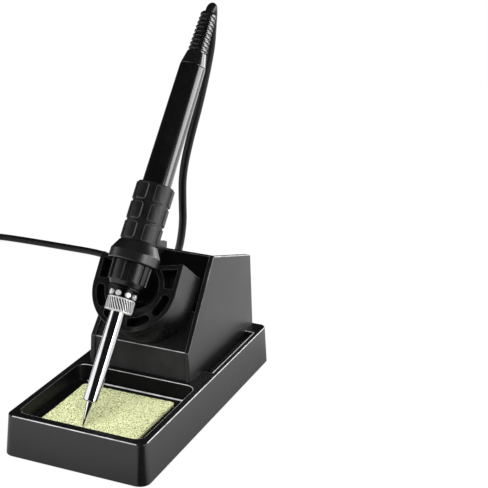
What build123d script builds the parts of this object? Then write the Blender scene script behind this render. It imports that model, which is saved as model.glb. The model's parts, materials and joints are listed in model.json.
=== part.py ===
from build123d import *
import math
import os

# Soldering iron on a moulded stand with a sponge well, a tool bin and a funnel holder.
# Millimetres, +Z up, the front is towards -Y, origin on the table under the middle of the base.

os.makedirs("parts", exist_ok=True)

# Clearances
seat_gap = 0.3
slip_gap = 0.2

# Base
base_length = 178.4
base_width = 85.4
base_height = 25.0
base_flare = 2.0
base_corner = 4.5
base_wall = 2.6
rim_round = 0.6
foot_lift = 0.8
foot_diameter = 11.0
foot_thickness = 2.2
foot_post_wall = 2.0
foot_inset = 11.0

# Sponge well in the front of the base
rim_land = 5.3
side_land = 4.2
well_length = 70.5
well_depth = 10.2
well_lean = 2.2
well_corner = 6.0
well_floor_round = 2.0

# Sponge, with its gaps to the well's rim
sponge_thickness = 2.2
sponge_corner = 2.0
sponge_front_gap = 9.0
sponge_back_gap = 8.5
sponge_left_gap = 7.5
sponge_right_gap = 9.5

# Channels in the deck beside the housing, from its front and back
channel_from_front = 18.4
channel_from_back = 13.2
channel_depth = 3.5
channel_rim = 3.5

# Housing, with heights above the deck
housing_width = 66.6
housing_lean = 2.9
housing_from_well = 2.6
housing_from_back = 1.4
housing_front_height = 18.6
peak_from_front = 38.8
peak_height = 66.2
back_top_height = 48.7
back_lean = 2.3
housing_wall = 3.0
wall_corner_round = 2.0
wall_edge_round = 0.7
panel_recess = 1.2
panel_fold_round = 1.0
panel_length = 26.0
back_wall_drop = 5.0

# Screws that hold the housing to the base
screw_diameter = 2.9
screw_head_diameter = 5.6
screw_head_height = 1.8
screw_reach = 8.0
boss_diameter = 7.0
boss_height = 10.0
boss_side = 21.5
boss_from_wall = 14.0
boss_rib = 2.0

# Iron holder
holder_width = 52.8
holder_tilt = 35.5
holder_seat = 28.0
holder_reach = 29.2
holder_wall = 2.8
holder_block_depth = 16.5
peak_rise = 18.0
notch_rise = 12.6
hole_diameter = 23.0
mouth_diameter = 31.0
funnel_depth = 5.0
pocket_land = 3.0
pocket_depth = 9.0
kidney_count = 4
kidney_rib = 2.6
hook_thickness = 2.5
hook_grip = 4.5
hook_width = 6.0

# Iron: lengths along its axis from the tip, and diameters
tip_length = 14.1
tip_end_diameter = 0.8
tip_base_diameter = 4.6
barrel_diameter = 7.2
barrel_length = 25.0
sleeve_length = 52.4
sleeve_diameter = 8.6
sleeve_wall = 0.4
sleeve_lip = 0.8
sleeve_flange_diameter = 11.0
sleeve_flange_thickness = 1.0
nut_length = 8.1
nut_diameter = 15.9
nut_front_wall = 0.9
nut_edge = 0.5
ferrule_gap = 6.7
ferrule_ring_diameter = 12.8
ferrule_flange_diameter = 18.2
ferrule_flange_thickness = 1.2
ferrule_stem_diameter = 13.6
ferrule_stem_length = 9.0
lug_count = 8
lug_diameter = 3.2
lug_reach = 1.7
lug_turn = 9.6
collar_length = 14.0
collar_top_diameter = 23.0
collar_bottom_diameter = 22.2
collar_nose_length = 2.6
collar_nose_diameter = 18.4
collar_nose_flare = 1.2
flute_count = 8
flute_width = 3.6
flute_depth = 1.0
flute_turn = 19.6
guard_length = 11.8
guard_diameter = 29.0
guard_band = 6.0
guard_edge = 0.6
guard_neck_diameter = 22.0
grip_length = 34.8
grip_diameter = 22.6
pad_relief = 0.75
pad_rows = 3
pad_columns = 6
pad_width = 7.3
pad_turn = 22.6
pad_space = 1.6
pad_corner = 1.6
handle_length = 73.0
handle_diameter = 17.0
handle_end_diameter = 15.2
handle_wall = 2.3
handle_nose = 3.9
boot_length = 33.5
boot_collar_length = 8.5
boot_collar_end_diameter = 11.4
boot_end_diameter = 9.4
boot_spigot = 8.0
boot_rings = 9
boot_groove = 0.9
boot_groove_share = 0.4
boot_flank_share = 0.1
boot_nose = 1.2

# Inside the iron
heater_diameter = 3.8
heater_length = 67.5
heater_inset = 4.4
lead_diameter = 1.0
lead_spread = 1.8
board_length = 26.0
board_thickness = 1.6
clamp_length = 6.0

# How the iron leans: where its tip stands on the sponge, and the turn of its lean from straight back
tip_side = -4.2
tip_inset = 3.5
lean_turn = 7.6

# Cord
cord_diameter = 5.3
cord_straight = 2.3
bend_share = 0.45
coil_radius = 34.0
coil_gap = 0.6
coil_tail = 15.0
quarters_in = 9
quarters_climb = 2
quarters_out = 10
tie_thickness = 0.8
tie_width = 7.0
tie_corner = 3.0
tie_turn = 225.0

# Plug
plug_relief_length = 13.0
plug_relief_diameter = 8.4
plug_relief_end_diameter = 12.6
plug_width = 25.0
plug_length = 27.0
plug_corner = 5.0
blade_spacing = 12.7
blade_width = 6.35
blade_thickness = 1.5
blade_length = 17.0
blade_rise = 5.8
earth_pin_diameter = 4.75
earth_pin_length = 20.0
earth_pin_drop = 11.9

# Worked out from the sizes above
deck = base_height
well_front = rim_land - base_length / 2
well_back = well_front + well_length
well_width = base_width - 2 * side_land
well_floor = base_height - well_depth
sponge_top = well_floor + sponge_thickness
sponge_front = well_front + sponge_front_gap
sponge_length = well_length - sponge_front_gap - sponge_back_gap
sponge_width = well_width - sponge_left_gap - sponge_right_gap
sponge_side = (sponge_left_gap - sponge_right_gap) / 2
housing_front = well_back + housing_from_well
housing_back = base_length / 2 - housing_from_back
peak_y = housing_front + peak_from_front
back_top_y = housing_back - back_lean
channel_front = housing_front + channel_from_front
channel_back = housing_back - channel_from_back
channel_floor = deck - channel_depth
cord_radius = cord_diameter / 2
reach = 3 * base_length

sleeve_z = tip_length
nut_z = sleeve_z + sleeve_length
gap_z = nut_z + nut_length
collar_z = gap_z + ferrule_gap
guard_z = collar_z + collar_length
grip_z = guard_z + guard_length
handle_z = grip_z + grip_length
boot_z = handle_z + handle_length
iron_end = boot_z + boot_length
handle_bore = handle_diameter / 2 - handle_wall
cord_bore = cord_radius + slip_gap
board_z = grip_z + handle_nose


def turned(*points):
    profile = make_face(Polyline(*points, close=True))
    return revolve(Plane.XZ * profile, Axis.Z)


def side_profile(points, half_width):
    profile = make_face(Polyline(*points, close=True))
    return extrude(Plane.YZ * profile, amount=half_width, both=True)


# Slope of the housing's front: its foot, its direction upwards and its outward normal, in (y, z)
slope_foot = (housing_front, deck + housing_front_height)
slope_run = peak_y - housing_front
slope_climb = peak_height - housing_front_height
slope_length = math.hypot(slope_run, slope_climb)
slope_up = (slope_run / slope_length, slope_climb / slope_length)
slope_out = (-slope_up[1], slope_up[0])


def on_slope(along, out):
    return (
        slope_foot[0] + along * slope_up[0] + out * slope_out[0],
        slope_foot[1] + along * slope_up[1] + out * slope_out[1],
    )


# Face of the holder: its plane faces the front and upwards, with the hole's centre as its origin
tilt = math.radians(holder_tilt)
holder_axis = (0, -math.cos(tilt), math.sin(tilt))
seat_point = on_slope(holder_seat, 0)
holder_center = (
    0,
    seat_point[0] + holder_reach * holder_axis[1],
    seat_point[1] + holder_reach * holder_axis[2],
)
holder_face = Plane(origin=holder_center, x_dir=(1, 0, 0), z_dir=holder_axis)


# Iron's place: the tip stands on the sponge, and the guard leans against the holder's face
tip_clearance = seat_gap + tip_end_diameter / 4
tip_point = Vector(tip_side, sponge_front + tip_inset, sponge_top + tip_clearance)


def iron_direction(elevation):
    turn = math.radians(lean_turn)
    flat = math.cos(elevation)
    return Vector(math.sin(turn) * flat, math.cos(turn) * flat, math.sin(elevation))


def guard_clearance(elevation):
    axis = iron_direction(elevation)
    facing = Vector(*holder_axis)
    rim_center = tip_point + axis * (guard_z + guard_edge) - Vector(*holder_center)
    lean = axis.dot(facing)
    return rim_center.dot(facing) - guard_diameter / 2 * math.sqrt(1 - lean * lean) - seat_gap


def leaning_elevation():
    low = math.radians(30)
    high = math.radians(85)
    for step in range(50):
        middle = (low + high) / 2
        if guard_clearance(middle) > 0:
            high = middle
        else:
            low = middle
    return low


lean_elevation = leaning_elevation()
iron_axis = iron_direction(lean_elevation)
lean_side = (math.cos(math.radians(lean_turn)), -math.sin(math.radians(lean_turn)), 0)
iron_frame = Plane(origin=tip_point, x_dir=lean_side, z_dir=iron_axis)


def foot_places():
    side = base_width / 2 - foot_inset
    end = base_length / 2 - foot_inset
    return [(x, y) for x in (-side, side) for y in (-end, end)]


def boss_places():
    front = housing_front + panel_recess + housing_wall + boss_from_wall
    back = housing_back - housing_wall - boss_from_wall
    return [(x, y) for x in (-boss_side, boss_side) for y in (front, back)]


def block(x_range, y_range, z_range):
    size = [high - low for low, high in (x_range, y_range, z_range)]
    center = [(high + low) / 2 for low, high in (x_range, y_range, z_range)]
    return Pos(*center) * Box(*size)


def upright(diameter, height):
    return Cylinder(diameter / 2, height, align=(Align.CENTER, Align.CENTER, Align.MIN))


def make_base_tray():
    height = base_height - foot_lift
    flare_angle = math.degrees(math.atan(base_flare / height))
    bottom_width = base_width + 2 * base_flare
    bottom_length = base_length + 2 * base_flare
    bottom = RectangleRounded(bottom_width, bottom_length, base_corner + base_flare)
    tray = extrude(Plane.XY.offset(foot_lift) * bottom, amount=height, taper=flare_angle)
    tray = fillet(tray.edges().group_by(Axis.Z)[-1], rim_round)

    well_angle = math.degrees(math.atan(well_lean / well_depth))
    well_top = (0, (well_back + well_front) / 2, base_height)
    well_plane = Plane(origin=well_top, x_dir=(1, 0, 0), z_dir=(0, 0, -1))
    well_mouth = RectangleRounded(well_width, well_length, well_corner)
    well = extrude(well_plane * well_mouth, amount=well_depth, taper=well_angle)
    well = fillet(well.edges().group_by(Axis.Z)[0], well_floor_round)
    tray -= well

    # The hollow underneath steps up from the well's floor to the deck
    inner_side = base_width / 2 - base_wall
    inner_end = base_length / 2 - base_wall
    under_well = well_floor - base_wall
    under_channel = channel_floor - base_wall
    channel_inner = housing_width / 2 - housing_wall - slip_gap
    tray -= block((-inner_side, inner_side), (-inner_end, inner_end), (0, under_well))
    tray -= block((-inner_side, inner_side), (well_back + base_wall, inner_end), (0, under_channel))
    deck_pocket = channel_inner - base_wall
    tray -= block((-deck_pocket, deck_pocket), (well_back + base_wall, inner_end), (0, deck - base_wall))

    for side in (-1, 1):
        edges = sorted((side * channel_inner, side * (base_width / 2 - channel_rim)))
        tray -= block(edges, (channel_front, channel_back), (channel_floor, deck + 1))

    for x, y in foot_places():
        top = under_well if y < 0 else under_channel
        tray += Pos(x, y, foot_lift) * upright(foot_diameter + 2 * foot_post_wall, top - foot_lift)
        tray -= Pos(x, y, 0) * upright(foot_diameter + 2 * slip_gap, foot_thickness)

    for x, y in boss_places():
        tray -= Pos(x, y, 0) * upright(screw_diameter + 2 * slip_gap, deck)
    return tray


def make_rubber_feet():
    foot = upright(foot_diameter, foot_thickness)
    foot = chamfer(foot.edges().group_by(Axis.Z)[0], foot_lift / 2)
    return Compound(children=[Pos(x, y, 0) * foot for x, y in foot_places()])


def leaning_wedge(inset, z_low, z_high):
    lean = housing_lean / peak_height

    def half(z):
        return housing_width / 2 - inset - lean * (z - deck)

    section = make_face(Polyline(
        (-half(z_low), z_low),
        (half(z_low), z_low),
        (half(z_high), z_high),
        (-half(z_high), z_high),
        close=True,
    ))
    return extrude(Plane.XZ * section, amount=reach, both=True)


def make_housing():
    low = channel_floor - 1
    high = deck + 2 * peak_height
    outer = leaning_wedge(0, low, high)
    inner = leaning_wedge(housing_wall, low, high)

    outline = make_face(Polyline(
        (housing_front, deck),
        slope_foot,
        (peak_y, deck + peak_height),
        (back_top_y, deck + back_top_height),
        (housing_back, deck),
        close=True,
    ))
    rounded = fillet([v for v in outline.vertices() if v.Y > deck + back_top_height / 2], wall_corner_round)
    shell = extrude(Plane.YZ * rounded, amount=housing_width, both=True) & outer
    sides = shell.faces().sort_by(Axis.X)
    rims = [edge for side in (sides[0], sides[-1]) for edge in side.edges().sort_by(Axis.Z)[1:]]
    shell = fillet(rims, wall_edge_round)

    # Front wall and panel stand back from the side walls' edges
    face = panel_recess
    under = panel_recess + housing_wall
    bend = math.tan((math.pi / 2 - math.atan2(slope_up[1], slope_up[0])) / 2)
    fold = on_slope(face * bend, -face)
    panel = make_face(Polyline(
        (housing_front + face, deck),
        fold,
        on_slope(panel_length, -face),
        on_slope(panel_length, -under),
        on_slope(under * bend, -under),
        (housing_front + under, deck),
        close=True,
    ))
    panel = fillet(panel.vertices().sort_by_distance(fold)[0], panel_fold_round)
    front = extrude(Plane.YZ * panel, amount=housing_width, both=True)
    back_top = deck + back_top_height - back_wall_drop
    back_slant = back_lean / back_top_height
    back_edge = housing_back - back_slant * (back_top - deck)
    back = side_profile([
        (housing_back, deck),
        (back_edge, back_top),
        (back_edge - housing_wall, back_top),
        (housing_back - housing_wall, deck),
    ], housing_width)
    housing = shell - inner + (front & shell) + (back & shell)

    # Tongues under the side walls stand in the channels
    tongue = block(
        (-housing_width, housing_width),
        (channel_front + slip_gap, channel_back - slip_gap),
        (channel_floor, deck),
    )
    housing += (tongue & outer) - inner

    for x, y in boss_places():
        rib_ends = sorted((x, math.copysign(housing_width, x)))
        rib_top = deck + boss_height - boss_rib
        rib = block(rib_ends, (y - boss_rib / 2, y + boss_rib / 2), (deck, rib_top)) & outer
        housing += Pos(x, y, deck) * upright(boss_diameter, boss_height) + rib
        housing -= Pos(x, y, deck) * upright(screw_diameter + slip_gap, screw_reach + seat_gap)
    return housing


def make_housing_screws():
    head_top = deck - base_wall
    screw = turned(
        (0, -screw_head_height),
        (screw_head_diameter / 2, -screw_head_height / 2),
        (screw_head_diameter / 2, 0),
        (screw_diameter / 2, 0),
        (screw_diameter / 2, base_wall + screw_reach - screw_diameter),
        (0, base_wall + screw_reach),
    )
    return Compound(children=[Pos(x, y, head_top) * screw for x, y in boss_places()])


def holder_outline(inset):
    half = holder_width / 2 - inset
    bowl = Circle(half) - Pos(0, half) * Rectangle(4 * half, 2 * half)
    return bowl + Pos(0, peak_rise / 2) * Rectangle(2 * half, peak_rise)


def notch_height(x):
    return notch_rise + (peak_rise - notch_rise) * abs(x) / (holder_width / 2)


def holder_pockets():
    half = holder_width / 2
    inner = mouth_diameter / 2 + pocket_land
    outer = half - holder_wall
    middle = (inner + outer) / 2
    kidney_width = outer - inner
    share = 180 / kidney_count
    trim = math.degrees((kidney_rib + kidney_width) / 2 / middle)
    pockets = Sketch()
    for index in range(kidney_count):
        start = 180 + index * share + trim
        arc = CenterArc((0, 0), middle, start, share - 2 * trim)
        pockets += SlotArc(arc, kidney_width)
    near = inner / 2
    for side in (-1, 1):
        corner = make_face(Polyline(
            (side * outer, kidney_rib),
            (side * near, kidney_rib),
            (side * near, notch_height(near) - holder_wall),
            (side * outer, notch_height(outer) - holder_wall),
            close=True,
        ))
        pockets += corner - Circle(inner)
    return pockets


def make_iron_holder():
    half = holder_width / 2
    notch = make_face(Polyline(
        (-half, peak_rise),
        (0, notch_rise),
        (half, peak_rise),
        close=True,
    ))
    front = extrude(holder_face * (holder_outline(0) - notch), amount=-holder_block_depth)
    rear_mouth = Pos(0, peak_rise) * Rectangle(2 * (half - holder_wall), holder_wall)
    rear_wall = holder_outline(0) - holder_outline(holder_wall) - rear_mouth
    depth = holder_reach + holder_width / 2
    holder = front + extrude(holder_face * rear_wall, amount=-depth)

    # The lower half stands on the panel, and the sides end at the slope above it
    panel_cut = side_profile([
        on_slope(-slope_length, -panel_recess),
        on_slope(panel_length + slip_gap, -panel_recess),
        on_slope(panel_length + slip_gap, 0),
        on_slope(2 * slope_length, 0),
        on_slope(2 * slope_length, -slope_length),
        on_slope(-slope_length, -slope_length),
    ], holder_width)
    holder -= panel_cut

    # Hooks reach over the panel's top edge and grip it from behind
    under = panel_recess + housing_wall + seat_gap
    hook = side_profile([
        on_slope(panel_length + slip_gap, holder_wall),
        on_slope(panel_length + slip_gap, -under),
        on_slope(panel_length - hook_grip, -under),
        on_slope(panel_length - hook_grip, -under - hook_thickness),
        on_slope(panel_length + hook_width, -under - hook_thickness),
        on_slope(panel_length + hook_width, holder_wall),
    ], half)
    hook -= side_profile([
        on_slope(-slope_length, slope_length),
        on_slope(-slope_length, -slope_length),
        on_slope(2 * slope_length, -slope_length),
        on_slope(2 * slope_length, slope_length),
    ], half - holder_wall)
    holder += hook

    hole = extrude(holder_face * Circle(hole_diameter / 2), amount=-depth)
    cone = loft([
        holder_face * Circle(mouth_diameter / 2),
        holder_face.offset(-funnel_depth) * Circle(hole_diameter / 2),
    ])
    pockets = extrude(holder_face * holder_pockets(), amount=-pocket_depth)
    return holder - hole - cone - pockets


def make_sponge():
    place = Plane(origin=(sponge_side, sponge_front + sponge_length / 2, well_floor))
    outline = RectangleRounded(sponge_width, sponge_length, sponge_corner)
    return extrude(place * outline, amount=sponge_thickness)


def make_soldering_tip():
    lip_end = sleeve_z + sleeve_lip + slip_gap / 2
    bore = heater_diameter / 2 + slip_gap
    barrel_end = lip_end + barrel_length
    bore_start = sleeve_z + heater_inset - seat_gap
    return turned(
        (0, 0),
        (tip_end_diameter / 2, 0),
        (tip_base_diameter / 2, tip_length),
        (tip_base_diameter / 2, lip_end),
        (barrel_diameter / 2, lip_end),
        (barrel_diameter / 2, barrel_end),
        (bore, barrel_end),
        (bore, bore_start),
        (0, bore_start - bore / 2),
    )


def make_tip_sleeve():
    outer = sleeve_diameter / 2
    inner = outer - sleeve_wall
    lip_hole = tip_base_diameter / 2 + slip_gap
    flange_z = nut_z + nut_front_wall + slip_gap
    flange_end = flange_z + sleeve_flange_thickness
    return turned(
        (lip_hole, sleeve_z),
        (outer - sleeve_wall, sleeve_z),
        (outer, sleeve_z + sleeve_wall),
        (outer, flange_z),
        (sleeve_flange_diameter / 2, flange_z),
        (sleeve_flange_diameter / 2, flange_end),
        (inner, flange_end),
        (inner, sleeve_z + sleeve_lip),
        (lip_hole, sleeve_z + sleeve_lip),
    )


def make_knurled_nut():
    outer = nut_diameter / 2
    front_hole = sleeve_diameter / 2 + slip_gap
    bore = sleeve_flange_diameter / 2 + seat_gap
    return turned(
        (front_hole, nut_z),
        (outer - nut_edge, nut_z),
        (outer, nut_z + nut_edge),
        (outer, gap_z - nut_edge),
        (outer - nut_edge, gap_z),
        (bore, gap_z),
        (bore, nut_z + nut_front_wall),
        (front_hole, nut_z + nut_front_wall),
    )


def make_heater_core():
    start = sleeve_z + heater_inset
    return Pos(0, 0, start + heater_length / 2) * Cylinder(heater_diameter / 2, heater_length)


def make_heater_ferrule():
    bore = heater_diameter / 2 + slip_gap
    spigot = sleeve_flange_diameter / 2
    spigot_z = nut_z + nut_front_wall + slip_gap + sleeve_flange_thickness + slip_gap
    ring = ferrule_ring_diameter / 2
    ring_z = gap_z + seat_gap
    flange_end = collar_z - seat_gap
    flange_z = flange_end - ferrule_flange_thickness
    stem = ferrule_stem_diameter / 2
    ferrule = turned(
        (bore, spigot_z),
        (spigot, spigot_z),
        (spigot, ring_z),
        (ring, ring_z),
        (ring, flange_z),
        (ferrule_flange_diameter / 2, flange_z),
        (ferrule_flange_diameter / 2, flange_end),
        (stem, flange_end),
        (stem, collar_z + ferrule_stem_length),
        (bore, collar_z + ferrule_stem_length),
    )
    lug_z = ring_z + lug_diameter / 2 + slip_gap
    lug = Pos(ring, 0, lug_z) * Rot(0, 90, 0) * Cylinder(lug_diameter / 2, 2 * lug_reach)
    for index in range(lug_count):
        ferrule += Rot(0, 0, lug_turn + index * 360 / lug_count) * lug
    return ferrule


def make_fluted_collar():
    stem_bore = ferrule_stem_diameter / 2 + slip_gap
    stem_end = collar_z + ferrule_stem_length + slip_gap
    nose_bore = handle_diameter / 2 + slip_gap
    bottom = collar_bottom_diameter / 2
    top = collar_top_diameter / 2
    nose = collar_nose_diameter / 2
    nose_end = collar_z + collar_nose_length
    collar = turned(
        (stem_bore, collar_z),
        (nose, collar_z),
        (nose + collar_nose_flare, nose_end),
        (bottom, nose_end),
        (top, guard_z),
        (nose_bore, guard_z),
        (nose_bore, stem_end),
        (stem_bore, stem_end),
    )
    side_angle = math.degrees(math.atan2(top - bottom, guard_z - nose_end))
    middle_z = (nose_end + guard_z) / 2
    flute = Box(2 * flute_depth, flute_width, 2 * collar_length)
    flute = fillet(flute.edges().filter_by(Axis.Z), flute_depth / 2)
    for index in range(flute_count):
        turn = Rot(0, 0, flute_turn + index * 360 / flute_count)
        collar -= turn * Pos((top + bottom) / 2, 0, middle_z) * Rot(0, side_angle, 0) * flute
    return collar


def make_guard_flange():
    bore = handle_diameter / 2 + slip_gap
    outer = guard_diameter / 2
    return turned(
        (bore, guard_z),
        (outer - guard_edge, guard_z),
        (outer, guard_z + guard_edge),
        (outer, guard_z + guard_band),
        (outer - guard_edge, guard_z + guard_band + guard_edge),
        (guard_neck_diameter / 2, grip_z),
        (bore, grip_z),
    )


def make_grip_sleeve():
    bore = handle_diameter / 2 + slip_gap
    outer = grip_diameter / 2
    floor = outer - pad_relief
    sleeve = turned((bore, grip_z), (floor, grip_z), (floor, handle_z), (bore, handle_z))
    root = floor - pad_relief
    skin = turned((root, grip_z), (outer, grip_z), (outer, handle_z), (root, handle_z))
    row_height = grip_length / pad_rows
    pad_shape = RectangleRounded(pad_width, row_height - pad_space, pad_corner)
    for row in range(pad_rows):
        for column in range(pad_columns):
            turn = math.radians(pad_turn + 360 * column / pad_columns)
            outward = (math.cos(turn), math.sin(turn), 0)
            across = (-math.sin(turn), math.cos(turn), 0)
            place = Plane(origin=(0, 0, grip_z + (row + 0.5) * row_height), x_dir=across, z_dir=outward)
            sleeve += extrude(place * pad_shape, amount=grip_diameter) & skin
    return sleeve


def make_handle_tube():
    return turned(
        (handle_bore, collar_z + ferrule_stem_length + 2 * slip_gap),
        (handle_diameter / 2, collar_z + ferrule_stem_length + 2 * slip_gap),
        (handle_diameter / 2, handle_z),
        (handle_end_diameter / 2, boot_z),
        (handle_bore, boot_z),
    )


def make_terminal_board():
    width = 2 * (handle_bore - seat_gap)
    return Pos(0, 0, board_z + board_length / 2) * Box(width, board_thickness, board_length)


def make_heater_leads():
    start = sleeve_z + heater_inset + heater_length
    lead = upright(lead_diameter, board_z - start)
    return Pos(-lead_spread / 2, 0, start) * lead + Pos(lead_spread / 2, 0, start) * lead


def make_cord_clamp():
    top = boot_z - boot_spigot
    bottom = top - clamp_length
    outer = handle_bore - slip_gap
    return turned((cord_bore, bottom), (outer, bottom), (outer, top), (cord_bore, top))


def make_cord_boot():
    spigot = handle_bore - slip_gap
    collar_end = boot_z + boot_collar_length
    points = [
        (cord_bore, boot_z - boot_spigot),
        (spigot, boot_z - boot_spigot),
        (spigot, boot_z),
        (handle_end_diameter / 2, boot_z),
        (boot_collar_end_diameter / 2, collar_end),
    ]
    rings_length = boot_length - boot_collar_length - boot_nose
    pitch = rings_length / boot_rings
    shrink = (boot_collar_end_diameter - boot_end_diameter) / 2 / boot_rings
    for index in range(boot_rings):
        ridge = boot_collar_end_diameter / 2 - shrink * (index + 1)
        low = collar_end + index * pitch
        points.append((ridge - boot_groove, low))
        points.append((ridge - boot_groove, low + boot_groove_share * pitch))
        points.append((ridge, low + (boot_groove_share + boot_flank_share) * pitch))
        points.append((ridge, low + pitch))
    points.append((boot_end_diameter / 2 - boot_groove, iron_end))
    points.append((cord_bore, iron_end))
    return turned(*points)


def make_cord_entry():
    start = board_z + board_length
    return Pos(0, 0, (start + iron_end) / 2) * Cylinder(cord_radius, iron_end - start)


# Cord's route: from the boot, over a tight fold, down behind the stand and along the table
cord_exit = tip_point + iron_axis * iron_end
coil_low = tie_thickness + seat_gap + cord_radius
on_table = cord_radius
hanging_route = [
    cord_exit,
    cord_exit + iron_axis * cord_straight,
    Vector(12.5, 61.0, 234.0),
    Vector(11.2, 64.5, 230.4),
    Vector(10.1, 66.0, 221.0),
    Vector(8.2, 68.8, 206.5),
    Vector(-2.2, 77.3, 172.2),
    Vector(-12.3, 84.4, 144.5),
    Vector(-20.0, 90.6, 119.5),
    Vector(-22.5, 96.6, 98.0),
    Vector(-24.2, 101.6, 82.5),
    Vector(-29.5, 108.6, 63.5),
    Vector(-36.5, 116.0, 49.0),
]
floor_route = [
    Vector(-36.5, 116.0, 49.0),
    Vector(-43.5, 123.4, 34.5),
    Vector(-62.0, 142.0, 12.5),
    Vector(-88.0, 170.0, on_table),
    Vector(-116.0, 200.0, on_table),
    Vector(-146.0, 215.8, on_table),
    Vector(-186.0, 215.6, on_table),
    Vector(-222.0, 215.2, on_table),
    Vector(-250.0, 210.6, coil_low),
    Vector(-280.0, 194.6, coil_low),
]


def corner_radii(route):
    room = [bend_share * (after - before).length for before, after in zip(route, route[1:])]
    room[0] *= 2
    room[-1] *= 2
    radii = []
    for index, corner in enumerate(route[1:-1]):
        turn = math.radians((corner - route[index]).get_angle(route[index + 2] - corner))
        radii.append(min(room[index], room[index + 1]) / math.tan(turn / 2))
    return radii


def make_cord(name, route):
    radii = corner_radii(route)
    path = FilletPolyline(*route, radius=radii)
    cord = sweep(Plane(origin=path @ 0, z_dir=path % 0) * Circle(cord_radius), path=path)
    expected = math.pi * cord_radius ** 2 * path.length
    print(name, "length", round(path.length, 1), "volume share", round(cord.volume / expected, 4))
    print(name, "radii", [round(radius, 1) for radius in radii])
    return cord


# Coil: two layers that wind in and out again, with a climb in the half turn between them
coil_pitch = cord_diameter + coil_gap
coil_drift = coil_pitch / (2 * math.pi)
coil_start = floor_route[-1]
coil_heading = (floor_route[-1] - floor_route[-2]).normalized()
spiral_start = coil_start + coil_heading * cord_diameter
start_turn = math.atan2(coil_heading.Y, coil_heading.X) - math.pi / 2 - math.atan(coil_drift / coil_radius)
coil_center = spiral_start - Vector(math.cos(start_turn), math.sin(start_turn), 0) * coil_radius
turn_in = quarters_in * math.pi / 2
turn_climb = quarters_climb * math.pi / 2
coil_inner = coil_radius - coil_drift * turn_in


def coil_state(turn):
    if turn <= turn_in:
        radius, drift, rise, climb = coil_radius - coil_drift * turn, -coil_drift, 0, 0
    elif turn <= turn_in + turn_climb:
        share = (turn - turn_in) / turn_climb
        radius = coil_inner - coil_drift * turn_climb * (share - share * share)
        drift = -coil_drift * (1 - 2 * share)
        rise = coil_pitch * share * share * (3 - 2 * share)
        climb = coil_pitch * 6 * share * (1 - share) / turn_climb
    else:
        radius = coil_inner + coil_drift * (turn - turn_in - turn_climb)
        drift, rise, climb = coil_drift, coil_pitch, 0
    angle = start_turn + turn
    outward = Vector(math.cos(angle), math.sin(angle), 0)
    around = Vector(-math.sin(angle), math.cos(angle), 0)
    point = coil_center + outward * radius + Vector(0, 0, rise)
    heading = (around * radius + outward * drift + Vector(0, 0, climb)).normalized()
    return point, heading


def biarc(start, start_heading, end, end_heading):
    across = end - start
    sum_heading = start_heading + end_heading
    spread = 2 * (1 - start_heading.dot(end_heading))
    forward = across.dot(sum_heading)
    arm = (math.sqrt(forward * forward + spread * across.dot(across)) - forward) / spread
    middle = (start + end + (start_heading - end_heading) * arm) * 0.5
    first = TangentArc(start, middle, tangent=start_heading)
    return [first, TangentArc(middle, end, tangent=first % 1)]


coil_turns = [index * math.pi / 2 for index in range(quarters_in + quarters_climb + quarters_out + 1)]
spiral_end, tail_heading = coil_state(coil_turns[-1])
coil_end = spiral_end + tail_heading * coil_tail


def coil_clearance():
    steps = 24
    count = steps * len(coil_turns)
    samples = [coil_state(coil_turns[-1] * index / count)[0] for index in range(count + 1)]
    apart = 2 * steps
    gaps = [(far - near).length for i, near in enumerate(samples) for far in samples[i + apart:]]
    return min(gaps) - cord_diameter


def make_cord_coil():
    edges = [Line(coil_start, spiral_start)]
    for low, high in zip(coil_turns, coil_turns[1:]):
        edges += biarc(*coil_state(low), *coil_state(high))
    edges.append(Line(spiral_end, coil_end))
    path = Wire(edges)
    coil = sweep(Plane(origin=coil_start, z_dir=coil_heading) * Circle(cord_radius), path=path)
    expected = math.pi * cord_radius ** 2 * path.length
    print("cord_coil length", round(path.length, 1), "volume share", round(coil.volume / expected, 4))
    print("cord_coil least gap to itself", round(coil_clearance(), 2))
    return coil


def make_coil_tie():
    turn = math.radians(tie_turn)
    radii = []
    while turn < coil_turns[-1]:
        strand = coil_state(turn)[0] - coil_center
        radii.append(math.hypot(strand.X, strand.Y))
        turn += 2 * math.pi
    radius_low = min(radii)
    radius_high = max(radii)
    hole_width = radius_high - radius_low + cord_diameter + 4 * seat_gap
    hole_height = coil_pitch + cord_diameter + 2 * seat_gap
    hole = RectangleRounded(hole_width, hole_height, tie_corner)
    strap_width = hole_width + 2 * tie_thickness
    strap_height = hole_height + 2 * tie_thickness
    strap = RectangleRounded(strap_width, strap_height, tie_corner + tie_thickness)
    angle = start_turn + math.radians(tie_turn)
    outward = (math.cos(angle), math.sin(angle), 0)
    along = (math.sin(angle), -math.cos(angle), 0)
    middle = Pos((radius_low + radius_high) / 2, hole_height / 2 + tie_thickness)
    place = Plane(origin=(coil_center.X, coil_center.Y, 0), x_dir=outward, z_dir=along)
    return extrude(place * middle * (strap - hole), amount=tie_width / 2, both=True)


# Plug at the end of the cord, lying on the table
plug_half_height = coil_low + coil_pitch
plug_across = (tail_heading.Y, -tail_heading.X, 0)
plug_frame = Plane(origin=coil_end, x_dir=plug_across, z_dir=tail_heading)


def make_plug_body():
    relief = loft([
        plug_frame * Circle(plug_relief_diameter / 2),
        plug_frame.offset(plug_relief_length) * Circle(plug_relief_end_diameter / 2),
    ])
    shape = RectangleRounded(plug_width, 2 * plug_half_height, plug_corner)
    body = extrude(plug_frame.offset(plug_relief_length) * shape, amount=plug_length)
    return relief + body


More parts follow.
